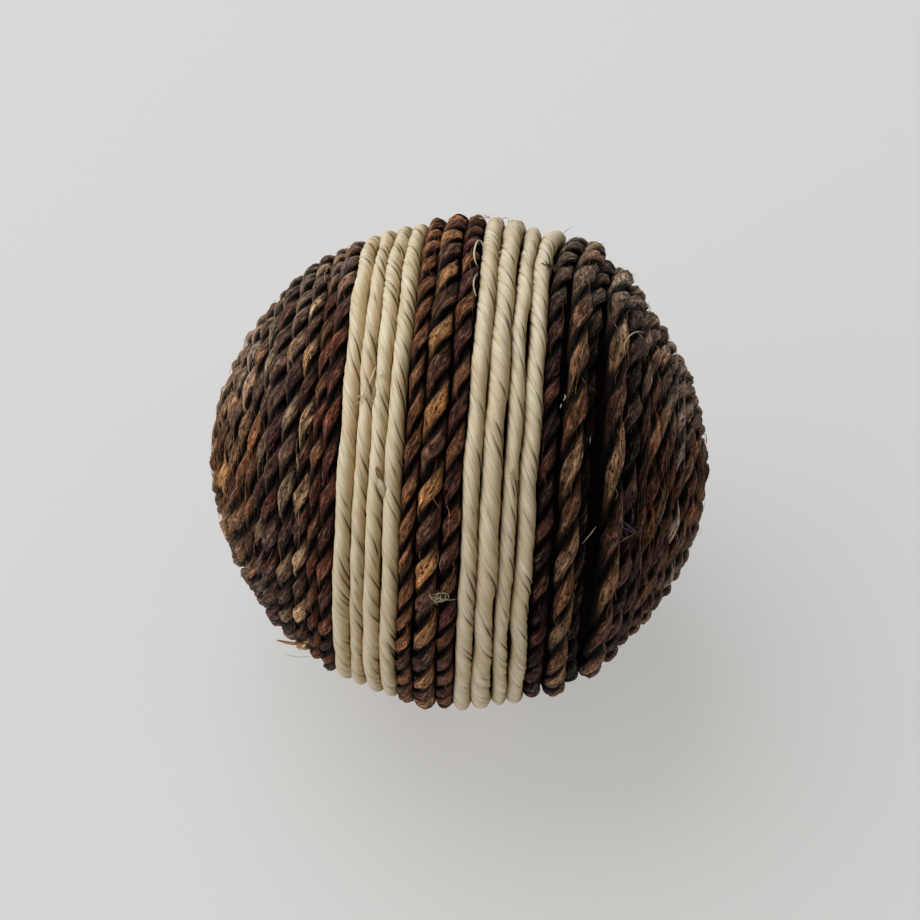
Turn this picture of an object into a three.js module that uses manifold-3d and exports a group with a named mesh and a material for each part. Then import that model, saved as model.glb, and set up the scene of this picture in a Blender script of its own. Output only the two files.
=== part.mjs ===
// Decorative sphere: a ball wound from pole to pole with twisted natural cord, in five bands
// of dark bark fibre and pale corn husk by turns.
//
// Millimetres, +Z up. The winding axis is X, with the looser, heavier dark winding at +X.
// The ball rests on a small flat spot pressed into its lowest turns, and the origin is in
// the plane of that spot, straight below the ball's centre.
import * as THREE from "three";
import { mergeVertices } from "three/addons/utils/BufferGeometryUtils.js";
import Module from "manifold-3d";

const wasm = await Module();
wasm.setup();

// Driving dimensions, in millimetres and degrees
const CENTRE_HEIGHT = 48.9; // of the ball's centre above the surface it rests on
const CORE_RADIUS = 45.2;
const SEAT_RADIUS = 45.8; // where the inner side of the cords lies
const TURN_GAP = 0.3; // between one turn and the next
const END_GAP = 0.4; // between the ends of two cords that meet
const ENDS_ANGLE = -135; // about X from the front, where the cords' ends meet: low on the back
const SEGMENTS_PER_TURN = 20;
const POLAR_LATITUDE = 70; // nearer the poles than this, a turn has half as many segments
const CORE_DETAIL = 4;

const DARK_FIBRE = 0x4b372b;
const CORN_HUSK = 0xc9b998;
const CORE_BROWN = 0x241a14;

// The cords in winding order. Latitudes are about the winding axis, at the edges of each band
// on the front. The two dark cords at the poles are tucked in POLE_TURNS before the pole.
// turnWidths are relative to the band's mean, and turnLifts are millimetres off the seat,
// both counted from the winding's start and plain where they run out.
const POLE_TURNS = 0.6;
const LEFT_TURN = 4.1; // degrees of latitude that a turn of the left dark cord takes
const RIGHT_TURN = 4.3;
const LEFT_EDGE = -26.8; // where the bands meet
const MIDDLE_FROM = -11.05;
const MIDDLE_TO = 2.5;
const RIGHT_EDGE = 19.1;

const CORDS = [
  {
    name: "left_dark_cord",
    from: -90 + POLE_TURNS * LEFT_TURN,
    to: LEFT_EDGE,
    turns: (90 + LEFT_EDGE) / LEFT_TURN - POLE_TURNS,
    thickness: 3.8,
    colour: DARK_FIBRE,
    turnWidths: [
      0.88, 0.88, 0.88, 1.1, 0.98, 1.19, 1.05, 0.95, 0.89, 1.29, 1.16, 0.98, 0.78, 0.98,
    ],
    turnLifts: [0.8, 0.8, 0.6, 0.3],
  },
  {
    name: "left_pale_cord",
    from: LEFT_EDGE,
    to: MIDDLE_FROM,
    turns: 4,
    thickness: 3.5,
    colour: CORN_HUSK,
    turnWidths: [1.09, 0.9, 1, 1.01],
  },
  {
    name: "middle_dark_cord",
    from: MIDDLE_FROM,
    to: MIDDLE_TO,
    turns: 3,
    thickness: 4.1,
    colour: DARK_FIBRE,
    turnWidths: [0.84, 1.24, 0.92],
  },
  {
    name: "right_pale_cord",
    from: MIDDLE_TO,
    to: RIGHT_EDGE,
    turns: 4,
    thickness: 4.1,
    colour: CORN_HUSK,
    turnWidths: [1.02, 1.05, 0.93, 1],
  },
  {
    name: "right_dark_cord",
    from: RIGHT_EDGE,
    to: 90 - POLE_TURNS * RIGHT_TURN,
    turns: (90 - RIGHT_EDGE) / RIGHT_TURN - POLE_TURNS,
    thickness: 3.8,
    colour: DARK_FIBRE,
    turnWidths: [
      1, 1.28, 1.09, 1.72, 1.26, 0.72, 0.88, 0.91, 0.81, 0.88, 1.05, 1, 0.85, 0.85, 0.85,
      0.85,
    ],
    turnLifts: [0.4, 2, 0, 1.2, 0.4, 0.2, 0, 0, 0, 0, 0, 0.3, 0.6, 0.8, 0.8, 0.8],
  },
];

// Turns are numbered from 0 where the left pale cord starts, negative towards the left pole,
// so that every cord but the first starts on a whole turn.
let turnCount = -CORDS[0].turns;
for (const cord of CORDS) {
  cord.start = turnCount;
  cord.end = turnCount + cord.turns;
  cord.pitch = (cord.to - cord.from) / cord.turns;
  turnCount = cord.end;
}

const cordAt = (turn) =>
  CORDS.find((cord) => turn < cord.end) ?? CORDS.at(-1);

// What the uneven turns change is fullest on the front and gone where the ends meet.
const frontness = (turn) => Math.sin(Math.PI * turn) ** 2;

const listedTurn = (cord, turn) => Math.floor(turn + 1e-9) - Math.ceil(cord.start);

// Nominal width of the cord at a turn number, in degrees of latitude.
function nominalWidth(turn) {
  const cord = cordAt(turn);
  const relative = cord.turnWidths?.[listedTurn(cord, turn)] ?? 1;
  return cord.pitch * (1 + (relative - 1) * frontness(turn));
}

// How far the uneven turns before it, and half of itself, push a turn along, in pitches.
function widthShift(cord, turn) {
  const widths = cord.turnWidths ?? [];
  const index = listedTurn(cord, turn);
  const excess = (i) => (widths[i] ?? 1) - 1;
  let shift = excess(index) / 2;
  for (let i = 0; i < Math.min(index, widths.length); i++) shift += excess(i);
  return shift;
}

// Latitude of the cord's centre line at a turn number, in degrees.
function latitude(turn) {
  const cord = cordAt(turn);
  const shift = widthShift(cord, turn) * frontness(turn);
  return cord.from + cord.pitch * (turn - cord.start + shift);
}

// Width left for the cord between its neighbours, in degrees: each takes its share.
function freeWidth(turn) {
  const own = nominalWidth(turn);
  const share = (other) =>
    (Math.abs(latitude(other) - latitude(turn)) * 2 * own) / (own + nominalWidth(other));
  const first = CORDS[0].start;
  const last = CORDS.at(-1).end;
  const before = turn - 1 >= first ? share(turn - 1) : Infinity;
  const after = turn + 1 <= last ? share(turn + 1) : Infinity;
  return Math.min(before, after);
}

function relativeThickness(turn) {
  const cord = cordAt(turn);
  return Math.sqrt(nominalWidth(turn) / cord.pitch);
}

function lift(turn) {
  const cord = cordAt(turn);
  return (cord.turnLifts?.[listedTurn(cord, turn)] ?? 0) * frontness(turn);
}

// Point at a distance from the ball's centre, on the winding's course.
function windingPoint(turn, radius) {
  const lat = THREE.MathUtils.degToRad(latitude(turn));
  const angle = THREE.MathUtils.degToRad(ENDS_ANGLE + 360 * turn);
  return new THREE.Vector3(
    radius * Math.sin(lat),
    -radius * Math.cos(lat) * Math.cos(angle),
    radius * Math.cos(lat) * Math.sin(angle),
  );
}

// Six-sided section of the cord at a turn number: one corner out, flat sides to its neighbours.
function cordSection(cord, turn) {
  const thickness = cord.thickness * relativeThickness(turn);
  const lost = (1 - Math.cos(Math.PI / SEGMENTS_PER_TURN)) / 2; // in the flats of the turns
  const radius = (SEAT_RADIUS + lift(turn) + thickness / 2) * (1 + lost);
  const width = THREE.MathUtils.degToRad(freeWidth(turn)) * SEAT_RADIUS - TURN_GAP;
  const centre = windingPoint(turn, radius);
  const out = centre.clone().normalize();
  const step = 0.01;
  const along = windingPoint(turn + step, radius)
    .sub(windingPoint(turn - step, radius))
    .normalize();
  const side = new THREE.Vector3().crossVectors(out, along).normalize();
  const halfWidth = width / 2 / Math.sin(Math.PI / 3);
  return Array.from({ length: 6 }, (_, corner) => {
    const a = (corner * Math.PI) / 3;
    return centre
      .clone()
      .addScaledVector(out, (thickness / 2) * Math.cos(a))
      .addScaledVector(side, halfWidth * Math.sin(a));
  });
}

// Turn numbers of a cord's sections: its two ends, and whole segments between them.
function cordStations(cord) {
  const endGap = END_GAP / 2 / (2 * Math.PI * SEAT_RADIUS);
  const start = cord.start + endGap;
  const end = cord.end - endGap;
  const stations = [start];
  const clearance = 0.25 / SEGMENTS_PER_TURN;
  const first = Math.ceil(start * SEGMENTS_PER_TURN);
  const last = Math.floor(end * SEGMENTS_PER_TURN);
  for (let i = first; i <= last; i++) {
    const turn = i / SEGMENTS_PER_TURN;
    if (turn - start < clearance || end - turn < clearance) continue;
    if (Math.abs(latitude(turn)) > POLAR_LATITUDE && i % 2 !== 0) continue;
    stations.push(turn);
  }
  stations.push(end);
  return stations;
}

// Closed tube through sections that all have the same number of corners.
function sweptSolid(sections) {
  const corners = sections[0].length;
  const faces = [];
  for (let i = 0; i + 1 < sections.length; i++) {
    for (let j = 0; j < corners; j++) {
      const k = (j + 1) % corners;
      const [a, b] = [sections[i][j], sections[i][k]];
      const [c, d] = [sections[i + 1][j], sections[i + 1][k]];
      faces.push(a, d, b, a, c, d);
    }
  }
  const [head, tail] = [sections[0], sections.at(-1)];
  for (let j = 1; j + 1 < corners; j++) {
    faces.push(head[0], head[j], head[j + 1]);
    faces.push(tail[0], tail[j + 1], tail[j]);
  }
  return new THREE.BufferGeometry().setFromPoints(faces);
}

function toManifold(geometry) {
  const bare = new THREE.BufferGeometry().setAttribute(
    "position",
    (geometry.index ? geometry.toNonIndexed() : geometry).getAttribute("position"),
  );
  const merged = mergeVertices(bare, 1e-4);
  return new wasm.Manifold(
    new wasm.Mesh({
      numProp: 3,
      vertProperties: merged.getAttribute("position").array,
      triVerts: new Uint32Array(merged.index.array),
    }),
  );
}

function fromManifold(solid) {
  const { vertProperties, triVerts } = solid.getMesh();
  return new THREE.BufferGeometry()
    .setAttribute("position", new THREE.BufferAttribute(vertProperties, 3))
    .setIndex(new THREE.BufferAttribute(triVerts, 1));
}

// Presses the flat spot: cuts off what reaches below the surface that the ball rests on.
function withFlatSpot(geometry) {
  geometry.computeBoundingBox();
  if (geometry.boundingBox.min.z > -CENTRE_HEIGHT) return geometry;
  const side = 2 * CORE_RADIUS;
  const depth = 10;
  const below = new THREE.BoxGeometry(side, side, depth);
  below.translate(0, 0, -CENTRE_HEIGHT - depth / 2);
  return fromManifold(toManifold(geometry).subtract(toManifold(below)));
}

function namedMesh(name, geometry, colour) {
  geometry.computeVertexNormals();
  const material = new THREE.MeshStandardMaterial({
    color: colour,
    roughness: 0.85,
    metalness: 0,
    flatShading: true,
  });
  const mesh = new THREE.Mesh(geometry, material);
  mesh.name = name;
  return mesh;
}

function woundCord(cord) {
  const sections = cordStations(cord).map((turn) => cordSection(cord, turn));
  return namedMesh(cord.name, withFlatSpot(sweptSolid(sections)), cord.colour);
}

// The ball that the cords are wound on, seen only in the gaps between the loose turns.
function coreBall() {
  const geometry = new THREE.IcosahedronGeometry(CORE_RADIUS, CORE_DETAIL);
  return namedMesh("core_ball", geometry, CORE_BROWN);
}

const sphere = new THREE.Group();
sphere.position.z = CENTRE_HEIGHT;
sphere.add(coreBall(), ...CORDS.map(woundCord));

export default sphere;
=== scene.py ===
"""Decorative sphere: the looks of a ball wound with twisted dark fibre and corn husk cord.

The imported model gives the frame. Each wound cord's plain tube is replaced here by a fine
mesh on the same course: two twisted plies of bark fibre, or a strand wrapped in corn husk.
Lengths are worked out in millimetres about the ball's centre, and turned into metres in
the frame where a mesh is made.
"""

import math

import bpy
import numpy as np
from mathutils import Matrix, Vector


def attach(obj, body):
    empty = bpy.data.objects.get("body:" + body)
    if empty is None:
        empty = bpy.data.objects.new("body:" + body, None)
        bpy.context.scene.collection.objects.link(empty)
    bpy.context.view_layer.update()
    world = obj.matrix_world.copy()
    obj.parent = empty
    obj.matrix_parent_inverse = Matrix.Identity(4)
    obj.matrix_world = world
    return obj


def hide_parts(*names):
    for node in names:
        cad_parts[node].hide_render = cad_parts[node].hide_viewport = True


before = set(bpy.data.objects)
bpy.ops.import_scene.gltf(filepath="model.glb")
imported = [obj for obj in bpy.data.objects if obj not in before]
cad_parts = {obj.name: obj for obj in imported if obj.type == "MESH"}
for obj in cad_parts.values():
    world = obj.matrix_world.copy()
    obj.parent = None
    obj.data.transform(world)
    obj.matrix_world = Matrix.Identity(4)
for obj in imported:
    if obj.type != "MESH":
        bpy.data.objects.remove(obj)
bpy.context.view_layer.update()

# ---------------------------------------------------------------- the ball's dimensions

MILLIMETRE = 0.001
BALL_RADIUS = 50.0
CENTRE_HEIGHT = 48.9  # of the ball's centre over the floor
SEAT_RADIUS = 45.8  # where the inner side of the cords lies
ENDS_ANGLE = -135.0  # degrees about X from the front, where the cords' ends meet
END_GAP = 0.4  # between one cord's end and the next one's start
POLE_TURNS = 0.6  # left open at each pole
LEFT_TURN = 4.1  # degrees of latitude to a turn of the left dark cord
RIGHT_TURN = 4.3  # and of the right one
LEFT_EDGE = -26.8  # latitudes where the bands meet
MIDDLE_FROM = -11.05
MIDDLE_TO = 2.5
RIGHT_EDGE = 19.1
CAMERA_ELEVATION = 50.0
SPARE_TURNS = 3  # in a cord's lists, for the parts of turns at its ends


class Cord:
    """A wound cord: its course over the ball, as in the CAD model.

    Turns are numbered through the whole ball, from 0 where the left pale band starts. The
    lists give each whole turn's width as a share of the mean, and how far its front is lifted.
    """

    def __init__(self, name, start, turns, lat_from, lat_to, thickness, widths=(), lifts=()):
        self.name = name
        self.start = start
        self.turns = turns
        self.end = start + turns
        self.lat_from = lat_from
        self.pitch = (lat_to - lat_from) / turns
        self.thickness = thickness
        listed = int(math.ceil(turns)) + SPARE_TURNS
        self.relative = np.ones(listed)
        self.relative[1 : 1 + len(widths)] = widths
        self.lifts = np.zeros(listed)
        self.lifts[1 : 1 + len(lifts)] = lifts
        excess = self.relative - 1
        self.shift = np.cumsum(excess) - excess / 2

    def index(self, turn):
        """Place in the lists of the whole turn that a turn number is in."""
        whole = np.floor(turn + 1e-9) - math.ceil(self.start) + 1
        return np.clip(whole, 0, len(self.relative) - 1).astype(int)

    def width(self, turn):
        """Width in degrees of latitude."""
        return self.pitch * (1 + (self.relative[self.index(turn)] - 1) * frontness(turn))

    def latitude(self, turn):
        shift = self.shift[self.index(turn)] * frontness(turn)
        return self.lat_from + self.pitch * (turn - self.start + shift)

    def lift(self, turn):
        return self.lifts[self.index(turn)] * frontness(turn)

    def relative_thickness(self, turn):
        return np.sqrt(self.width(turn) / self.pitch)


def frontness(turn):
    """1 on the front of a turn, 0 at the back where the cords' ends meet."""
    return np.sin(np.pi * turn) ** 2


LEFT_TURNS = (90 + LEFT_EDGE) / LEFT_TURN - POLE_TURNS
RIGHT_TURNS = (90 - RIGHT_EDGE) / RIGHT_TURN - POLE_TURNS
LEFT_WIDTHS = (0.88, 0.88, 0.88, 1.1, 0.98, 1.19, 1.05, 0.95, 0.89, 1.29, 1.16, 0.98, 0.78, 0.98)
RIGHT_WIDTHS = (1, 1.26, 1.11, 1.64, 1.34, 0.72, 0.88, 0.91, 0.81, 0.88, 1.05, 1,
                0.85, 0.85, 0.85, 0.85)
RIGHT_LIFTS = (0.4, 2, 0, 1.2, 0.4, 0.2, 0, 0, 0, 0, 0, 0.3, 0.6, 0.8, 0.8, 0.8)

LEFT_DARK = Cord("left_dark_cord", -LEFT_TURNS, LEFT_TURNS,
                 -90 + POLE_TURNS * LEFT_TURN, LEFT_EDGE, 3.8, LEFT_WIDTHS, (0.8, 0.8, 0.6, 0.3))
LEFT_PALE = Cord("left_pale_cord", 0, 4, LEFT_EDGE, MIDDLE_FROM, 3.5, (1.09, 0.9, 1, 1.01))
MIDDLE_DARK = Cord("middle_dark_cord", 4, 3, MIDDLE_FROM, MIDDLE_TO, 4.1, (0.84, 1.24, 0.92))
RIGHT_PALE = Cord("right_pale_cord", 7, 4, MIDDLE_TO, RIGHT_EDGE, 4.1, (1.02, 1.05, 0.93, 1))
RIGHT_DARK = Cord("right_dark_cord", 11, RIGHT_TURNS, RIGHT_EDGE,
                  90 - POLE_TURNS * RIGHT_TURN, 3.8, RIGHT_WIDTHS, RIGHT_LIFTS)

# ---------------------------------------------------------------- smooth random numbers

NOISE_CELLS = 4096


def wander(x, seed):
    """Smooth noise from -1 to 1 that changes over about one unit of x."""
    table = np.random.default_rng(seed).uniform(-1, 1, NOISE_CELLS)
    x = np.asarray(x, float)
    cell = np.floor(x).astype(int)
    f = x - cell
    f = f * f * (3 - 2 * f)
    return table[cell % NOISE_CELLS] * (1 - f) + table[(cell + 1) % NOISE_CELLS] * f


def waver(noise, length, seed, apart=0.0):
    """Noise along a cord, from its strength and the millimetres that it changes over."""
    strength, spacing = noise
    return strength * wander(length / spacing + apart, seed)


def smoothstep(low, high, x):
    f = np.clip((x - low) / (high - low), 0, 1)
    return f * f * (3 - 2 * f)


def window(x, begins, whole, fades, ends):
    """1 within a range and 0 beyond it, with soft edges. The range may run downwards."""
    return smoothstep(begins, whole, x) * (1 - smoothstep(fades, ends, x))


# ---------------------------------------------------------------- the winding's course

COURSE_SAMPLES = 400  # to a turn, where its length is measured

# Stretches of a turn, in degrees from the middle of what the camera sees: where each
# begins and is whole, and where it fades and ends.
FACING = (-80, -55, 25, 60)
UPPER = (0, 45, 100, 150)
SHOULDER = (30, 65, 100, 150)
LOWER = (-30, -60, -90, -120)
OVER_TOP = (45, 88, 110, 160)

# How the turns stray over the top of the ball, by latitude.
STRAY_PLACES = (-34, -26, -10, 0, 16, 22, 28, 38, 48)
STRAY_DEGREES = (0, 0, 0, 0, 1.4, 3.8, 3.2, 1.8, 0)  # of latitude
STRAY_OUTWARD = (0, -0.6, -0.6, 0, 0.1, 0.9, 1.0, 0.3, 0)  # millimetres
STRAY_FULLER = (0, 0, 0, 0, 0.05, 0.38, 0.20, 0.05, 0)  # share of the cord's width


def unit(v):
    return v / np.linalg.norm(v, axis=-1, keepdims=True)


def ball_point(latitude, angle, radius):
    """Point by latitude about the winding axis and angle about it from the front, degrees."""
    lat = np.radians(latitude)
    a = np.radians(angle)
    radius = np.asarray(radius, float)
    return np.stack([radius * np.sin(lat),
                     -radius * np.cos(lat) * np.cos(a),
                     radius * np.cos(lat) * np.sin(a)], axis=-1)


def front_angle(turn):
    """Degrees about the winding axis from the middle of what the camera sees, -180 to 180."""
    return (ENDS_ANGLE + 360 * turn - CAMERA_ELEVATION + 180) % 360 - 180


def course(cord, step):
    """Points at equal steps along a cord's centre line, with its frame there."""
    fine = np.linspace(cord.start, cord.end, int(cord.turns * COURSE_SAMPLES))

    def stray(turn, latitude, amounts):
        return window(front_angle(turn), *OVER_TOP) * np.interp(latitude, STRAY_PLACES, amounts)

    def centre(turn):
        thickness = cord.thickness * cord.relative_thickness(turn)
        latitude = cord.latitude(turn)
        radius = SEAT_RADIUS + cord.lift(turn) + thickness / 2
        radius = radius + stray(turn, latitude, STRAY_OUTWARD)
        latitude = latitude + stray(turn, latitude, STRAY_DEGREES)
        return ball_point(latitude, ENDS_ANGLE + 360 * turn, radius)

    along_fine = lengths_along(centre(fine))
    total = along_fine[-1]
    count = int(total / step)
    length = np.linspace(END_GAP / 2, total - END_GAP / 2, count)
    turn = np.interp(length, along_fine, fine)
    points = centre(turn)
    out = unit(points)
    along = unit(np.gradient(points, axis=0))
    side = unit(np.cross(along, out))
    fuller = 1 + stray(turn, cord.latitude(turn), STRAY_FULLER)
    return {
        "turn": turn, "length": length, "points": points, "out": out, "side": side,
        "width": np.radians(cord.width(turn)) * (SEAT_RADIUS + cord.thickness / 2) * fuller,
        "thickness": cord.thickness * cord.relative_thickness(turn) * fuller,
    }


def end_taper(length, reach, least):
    """A share of a cord's size that falls to its least at the cord's two ends."""
    whole = smoothstep(0, reach, length - length[0]) * smoothstep(0, reach, length[-1] - length)
    return least + (1 - least) * whole


def ring_points(line, centre, half_out, half_side, out, side):
    """Points about a cord's course, from how far out and to the side each of them is."""
    return (centre[:, None, :]
            + (half_out * out)[..., None] * line["out"][:, None, :]
            + (half_side * side)[..., None] * line["side"][:, None, :])


def strand_place(length, across, shape, size=1.0):
    """A place along and round a strand, for its material's streaks."""
    return np.stack([np.broadcast_to(length, shape),
                     size * np.broadcast_to(np.cos(across), shape),
                     size * np.broadcast_to(np.sin(across), shape)], axis=-1)


def lengths_along(points):
    steps = np.linalg.norm(np.diff(points, axis=0), axis=1)
    return np.concatenate([[0], np.cumsum(steps)])


# ---------------------------------------------------------------- meshes


def tube_faces(stations, corners, first):
    """Quads of a tube round its rings, and fans on the two cap points after them."""
    i = np.arange(stations - 1)[:, None]
    j = np.arange(corners)[None, :]
    k = (j + 1) % corners
    quads = np.stack([i * corners + j, i * corners + k,
                      (i + 1) * corners + k, (i + 1) * corners + j], axis=-1)
    head = stations * corners
    j, k = j[0], k[0]
    last = (stations - 1) * corners
    fans = np.concatenate([
        np.stack([np.full(corners, head), k, j], axis=-1),
        np.stack([np.full(corners, head + 1), last + j, last + k], axis=-1)])
    return quads.reshape(-1, 4) + first, fans + first


def with_caps(values):
    """A ring-by-ring array, flattened, with the mean of the first and last ring added."""
    flat = values.reshape(values.shape[0] * values.shape[1], *values.shape[2:])
    ends = np.stack([values[0].mean(axis=0), values[-1].mean(axis=0)])
    return np.concatenate([flat, ends])


def piece_from_tubes(name, tubes, material, node=None):
    """One mesh object from closed tubes. Each has its rings, in millimetres, and attributes."""
    points, quads, fans = [], [], []
    attributes = {key: [] for key in tubes[0]["attributes"]}
    first = 0
    for tube in tubes:
        rings = tube["rings"]
        q, t = tube_faces(rings.shape[0], rings.shape[1], first)
        quads.append(q)
        fans.append(t)
        points.append(with_caps(rings))
        for key, values in tube["attributes"].items():
            attributes[key].append(with_caps(values))
        first += rings.shape[0] * rings.shape[1] + 2
    points = np.concatenate(points)
    points[:, 2] = np.maximum(points[:, 2], -CENTRE_HEIGHT)
    points[:, 2] += CENTRE_HEIGHT
    quads, fans = np.concatenate(quads), np.concatenate(fans)

    mesh = bpy.data.meshes.new(name)
    mesh.vertices.add(len(points))
    mesh.vertices.foreach_set("co", (points * MILLIMETRE).astype(np.float32).ravel())
    corners = np.concatenate([quads.ravel(), fans.ravel()])
    sizes = np.concatenate([np.full(len(quads), 4), np.full(len(fans), 3)])
    mesh.loops.add(len(corners))
    mesh.loops.foreach_set("vertex_index", corners.astype(np.int32))
    mesh.polygons.add(len(sizes))
    starts = np.concatenate([[0], np.cumsum(sizes)[:-1]])
    mesh.polygons.foreach_set("loop_start", starts.astype(np.int32))
    mesh.polygons.foreach_set("use_smooth", np.ones(len(sizes), bool))
    mesh.update(calc_edges=True)
    mesh.validate()
    for key, values in attributes.items():
        values = np.concatenate(values).astype(np.float32)
        kind = "FLOAT_VECTOR" if values.ndim == 2 else "FLOAT"
        store = mesh.attributes.new(key, kind, "POINT")
        store.data.foreach_set("vector" if values.ndim == 2 else "value", values.ravel())
    mesh.materials.append(material)
    piece = bpy.data.objects.new(name, mesh)
    bpy.context.scene.collection.objects.link(piece)
    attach(piece, "root")
    if node:
        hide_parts(node)

# ---------------------------------------------------------------- materials


class Nodes:
    """A material's node tree, with short calls to add nodes and join them."""

    def __init__(self, name):
        self.material = bpy.data.materials.new(name)
        self.material.use_nodes = True
        self.tree = self.material.node_tree
        self.tree.nodes.clear()
        self.shader = self.add("ShaderNodeBsdfPrincipled")
        output = self.add("ShaderNodeOutputMaterial")
        self.join(self.shader.outputs["BSDF"], output.inputs["Surface"])

    def add(self, kind, **settings):
        node = self.tree.nodes.new(kind)
        for key, value in settings.items():
            setattr(node, key, value)
        return node

    def join(self, source, target):
        if isinstance(source, (int, float, tuple)):
            target.default_value = source
        else:
            self.tree.links.new(source, target)

    def attribute(self, name, output="Fac"):
        return self.add("ShaderNodeAttribute", attribute_name=name).outputs[output]

    def maths(self, operation, a, b):
        node = self.add("ShaderNodeMath", operation=operation)
        self.join(a, node.inputs[0])
        self.join(b, node.inputs[1])
        return node.outputs[0]

    def spread(self, value, middle, gain):
        """A value's distance from its middle, made larger."""
        return self.maths("MULTIPLY", self.maths("SUBTRACT", value, middle), gain)

    def scaled(self, vector, scale):
        node = self.add("ShaderNodeVectorMath", operation="MULTIPLY")
        self.join(vector, node.inputs[0])
        self.join(scale, node.inputs[1])
        return node.outputs[0]

    def noise(self, vector, scale=1.0, detail=3.0, roughness=0.6):
        node = self.add("ShaderNodeTexNoise")
        self.join(vector, node.inputs["Vector"])
        node.inputs["Scale"].default_value = scale
        node.inputs["Detail"].default_value = detail
        node.inputs["Roughness"].default_value = roughness
        return node.outputs["Fac"]

    def ramp(self, factor, stops):
        node = self.add("ShaderNodeValToRGB")
        elements = node.color_ramp.elements
        while len(elements) < len(stops):
            elements.new(0.5)
        for element, (position, colour) in zip(elements, stops):
            element.position = position
            element.color = (*colour, 1.0)
        self.join(factor, node.inputs["Fac"])
        return node.outputs["Color"]

    def mix(self, factor, a, b, blend="MIX"):
        node = self.add("ShaderNodeMix", data_type="RGBA", blend_type=blend)
        self.join(factor, node.inputs["Factor"])
        self.join(a, node.inputs[6])
        self.join(b, node.inputs[7])
        return node.outputs[2]

    def stretch(self, value, low, high, to_low, to_high):
        """A value's range from low to high, spread over another range and held at its ends."""
        node = self.add("ShaderNodeMapRange")
        for socket, item in zip(node.inputs, (value, low, high, to_low, to_high)):
            self.join(item, socket)
        return node.outputs[0]

    def bump(self, height, distance, strength):
        node = self.add("ShaderNodeBump")
        node.inputs["Strength"].default_value = strength
        node.inputs["Distance"].default_value = distance
        self.join(height, node.inputs["Height"])
        self.join(node.outputs["Normal"], self.shader.inputs["Normal"])


# Grey-tan of the dust and painted sheen on the fibres
FIBRE_DUST_AND_SHEEN = (0.34, 0.24, 0.17, 1.0)
FIBRE_GLOSS = 0.14
FIBRE_RELIEF = 0.0013
MOST_SHADE = 4.5  # times a ply's own brown
# How dark the painted shade between the plies and in their splits makes them
CAVITY_SHADE = 0.03


def dark_fibre_material():
    """Bark fibre: each ply's own brown, streaked along its fibres and pitted, with painted shade
    between the plies and in their splits, and dust and painted sheen on the fibres that stand out.

    The streaks, the fine fibres and the patches each make it brighter or darker by powers
    of two.
    """
    n = Nodes("dark_fibre")
    strand = n.attribute("strand", "Vector")
    tint = n.attribute("tint", "Color")
    painted_shade_and_brown = n.attribute("painted_shade_and_brown")
    streak = n.noise(n.scaled(strand, (0.17, 1.6, 1.6)), detail=4.0, roughness=0.68)
    fine = n.noise(n.scaled(strand, (0.60, 3.4, 3.4)), detail=3.0, roughness=0.75)
    patch = n.noise(n.scaled(strand, (0.30, 0.6, 0.6)), detail=2.0)
    pits = n.noise(n.scaled(strand, (1.1, 3.0, 3.0)), detail=2.0, roughness=0.5)
    power = n.spread(streak, 0.46, 7.5)
    power = n.maths("ADD", power, n.spread(fine, 0.5, 7.5))
    power = n.maths("ADD", power, n.spread(patch, 0.5, 3.0))
    shade = n.maths("MINIMUM", n.maths("POWER", 2.0, power), MOST_SHADE)
    dark_pit = n.stretch(pits, 0.58, 0.64, 1.0, 0.12)
    shade = n.maths("MULTIPLY", shade, dark_pit)
    # Painted shade between the plies and in their splits
    shade = n.maths("MULTIPLY", shade, n.stretch(painted_shade_and_brown, 0.0, 1.0, 1.0, CAVITY_SHADE))
    grey = n.add("ShaderNodeCombineColor")
    for socket in grey.inputs:
        n.join(shade, socket)
    colour = n.mix(1.0, tint, grey.outputs[0], "MULTIPLY")
    # Dust and painted sheen on the fibres that stand out, none where the shade is painted
    dust_and_sheen = n.maths("MULTIPLY", n.stretch(fine, 0.52, 0.62, 0.0, 0.8),
                   n.stretch(patch, 0.42, 0.62, 0.10, 1.0))
    dust_and_sheen = n.maths("MULTIPLY", dust_and_sheen, n.stretch(painted_shade_and_brown, 0.0, 0.5, 1.0, 0.0))
    colour = n.mix(dust_and_sheen, colour, FIBRE_DUST_AND_SHEEN)
    n.join(colour, n.shader.inputs["Base Color"])
    n.join(n.stretch(fine, 0.3, 0.7, 0.80, 0.50), n.shader.inputs["Roughness"])
    n.join(FIBRE_GLOSS, n.shader.inputs["Specular IOR Level"])
    height = n.maths("ADD", streak, n.maths("MULTIPLY", fine, 0.8))
    height = n.maths("ADD", height, n.maths("MULTIPLY", dark_pit, 0.35))
    n.bump(height, FIBRE_RELIEF, 1.0)
    return n.material


HUSK_RAMP = [(0.34, (0.56, 0.43, 0.24)), (0.44, (0.70, 0.58, 0.40)),
             (0.54, (0.77, 0.67, 0.50)), (0.66, (0.84, 0.76, 0.61))]
HUSK = {
    "pink": (0.70, 0.535, 0.37, 1.0),
    "green": (0.62, 0.56, 0.33, 1.0),
    # Painted shade: the right-hand side's ochre, the brown towards the edges, which also colours
    # husk bits, and the creases' dark brown
    "shaded_side": (0.47, 0.315, 0.125, 1.0),
    "vein": (0.38, 0.265, 0.115, 1.0),
    "painted_shade_and_bit_brown": (0.20, 0.105, 0.030, 1.0),
    "crease": (0.072, 0.038, 0.009, 1.0),
}
HUSK_GLOSS = 0.30
HUSK_RELIEF = 0.0004


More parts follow.
